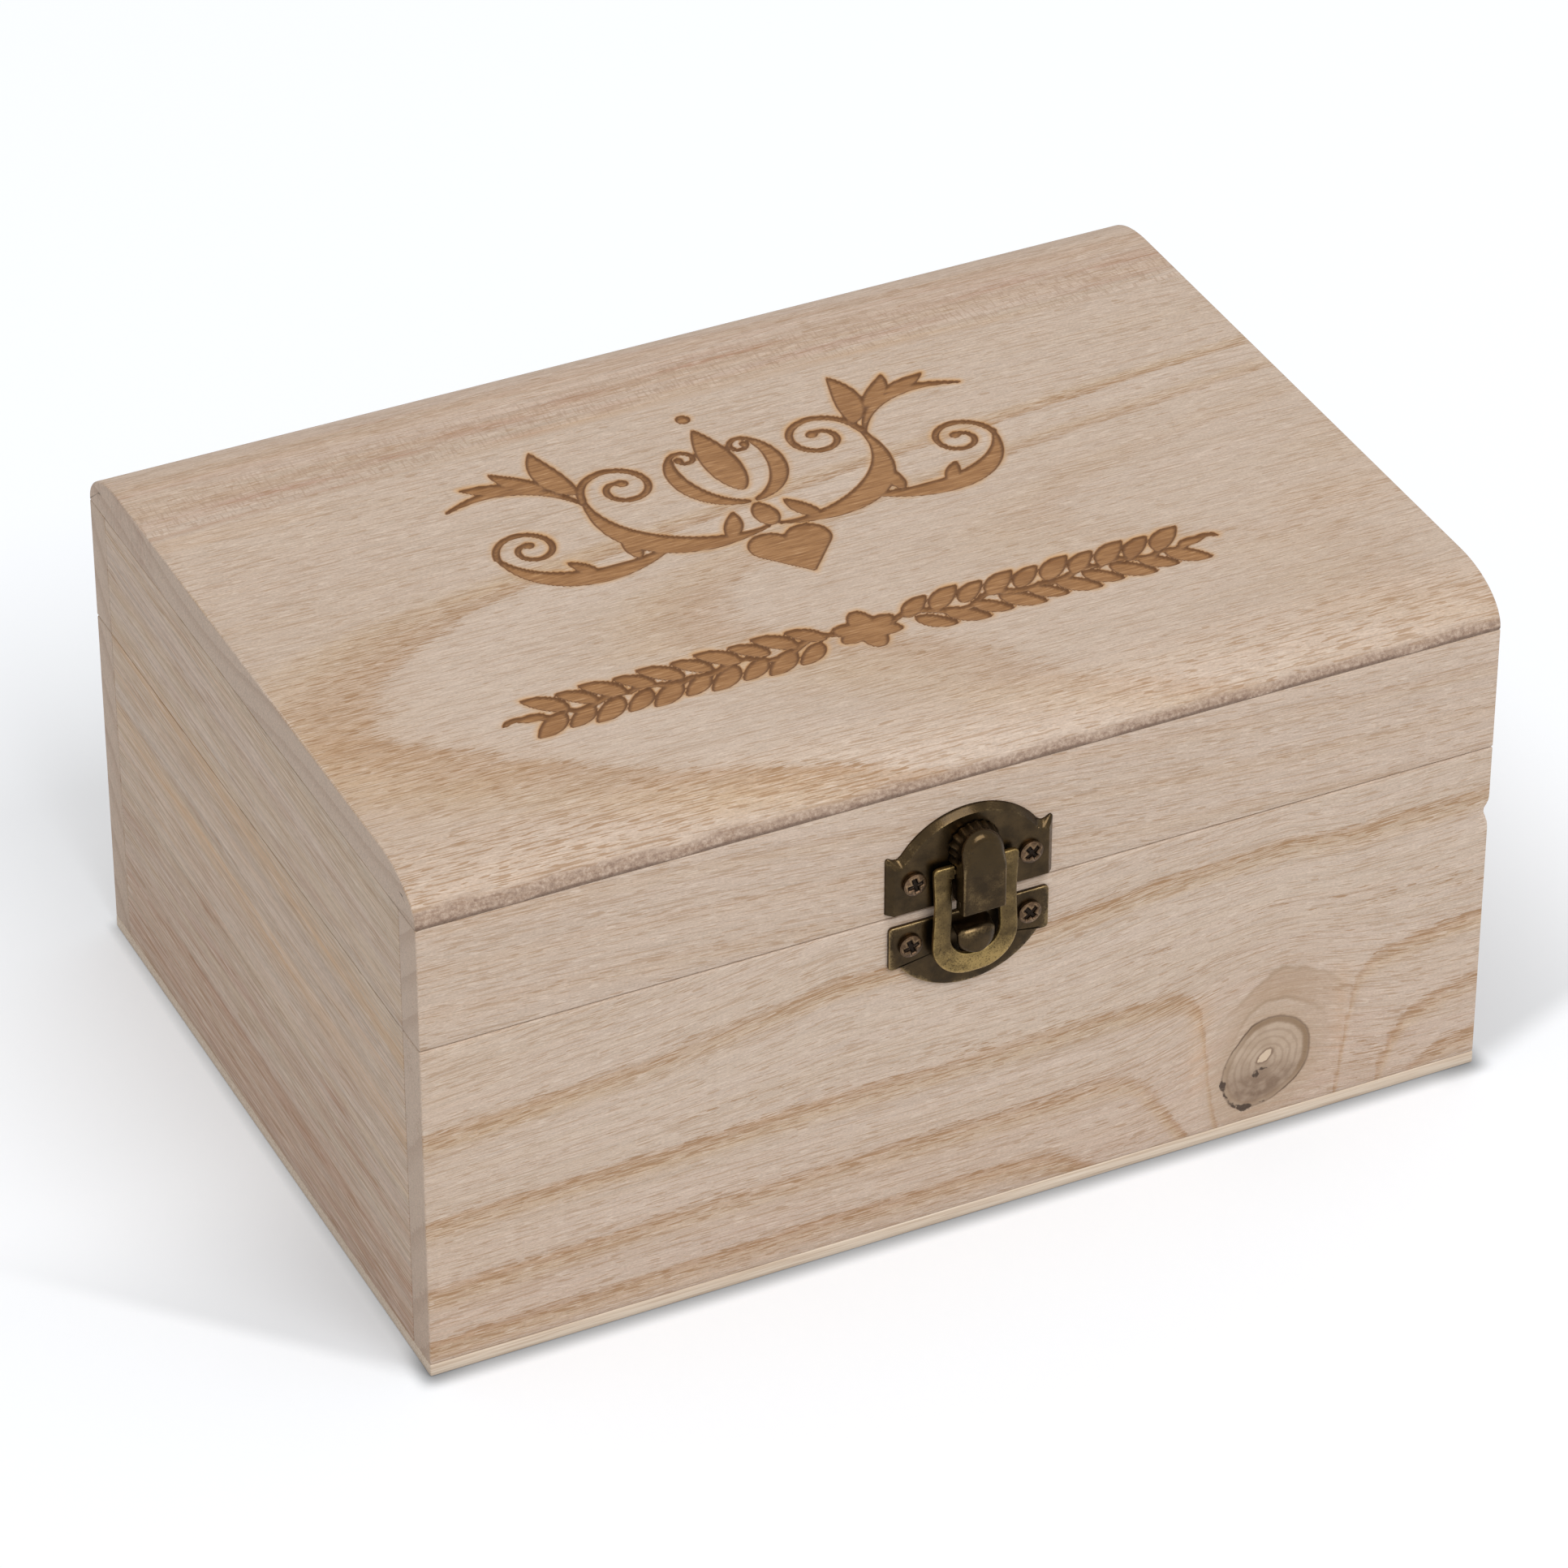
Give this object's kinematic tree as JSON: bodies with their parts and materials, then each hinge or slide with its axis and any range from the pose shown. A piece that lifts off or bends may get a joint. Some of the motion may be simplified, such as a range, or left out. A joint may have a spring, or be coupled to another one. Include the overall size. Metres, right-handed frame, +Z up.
{
  "type": "hinged wooden keepsake box",
  "caption": "Hinged wooden keepsake box with a round-edged lid, an engraved heart and a front lever latch with a swinging ring and hook.",
  "frame": {"origin": "middle of the underside of the box", "axes": "+X to the right along the front, +Y to the back where the hinges are, +Z up"},
  "size_m": [0.2, 0.1521, 0.0998],
  "materials": {
    "paulownia": "bare, planed",
    "paulownia_top": "bare, sanded, laser engraved",
    "pale_ply": "bare plywood",
    "antique_bronze": "antique bronze plating, satin",
    "worn_bronze": "antique bronze plating, worn to the brass",
    "screw_bronze": "copper bronze plating"
  },
  "bodies": {
    "base": {"base_front_board": "paulownia", "base_back_board": "paulownia", "base_left_board": "paulownia", "base_right_board": "paulownia", "base_bottom_sheet": "pale_ply", "latch_hook_plate": "antique_bronze", "latch_hook_screws": "screw_bronze", "left_hinge_base_leaf": "antique_bronze", "left_hinge_pin": "antique_bronze", "right_hinge_base_leaf": "antique_bronze", "right_hinge_pin": "antique_bronze", "hinge_base_screws": "screw_bronze"},
    "lid": {"lid_front_board": "paulownia", "lid_back_board": "paulownia", "lid_left_board": "paulownia", "lid_right_board": "paulownia", "lid_top_board": "paulownia_top", "latch_upper_plate": "antique_bronze", "latch_lever_pin": "antique_bronze", "latch_upper_screws": "screw_bronze", "left_hinge_lid_leaf": "antique_bronze", "right_hinge_lid_leaf": "antique_bronze", "hinge_lid_screws": "screw_bronze"},
    "lever": {"latch_lever": "antique_bronze"},
    "ring": {"latch_ring": "worn_bronze"}
  },
  "joints": [
    {"name": "lid_hinge", "type": "hinge", "parent": "base", "child": "lid", "pos_m": [0, 0.07285, 0.0675], "axis": [-1, 0, 0], "range_deg": [0, 110]},
    {"name": "lever_pivot", "type": "hinge", "parent": "lid", "child": "lever", "pos_m": [-0.0008, -0.0757, 0.07035], "axis": [1, 0, 0], "range_deg": [0, 120]},
    {"name": "ring_swing", "type": "hinge", "parent": "lever", "child": "ring", "pos_m": [-0.0008, -0.07375, 0.07575], "axis": [1, 0, 0], "range_deg": [-120, 0]}
  ],
  "couplings": [
    {"joint": "ring_swing", "follows": "lever_pivot", "ratio": -1}
  ]
}
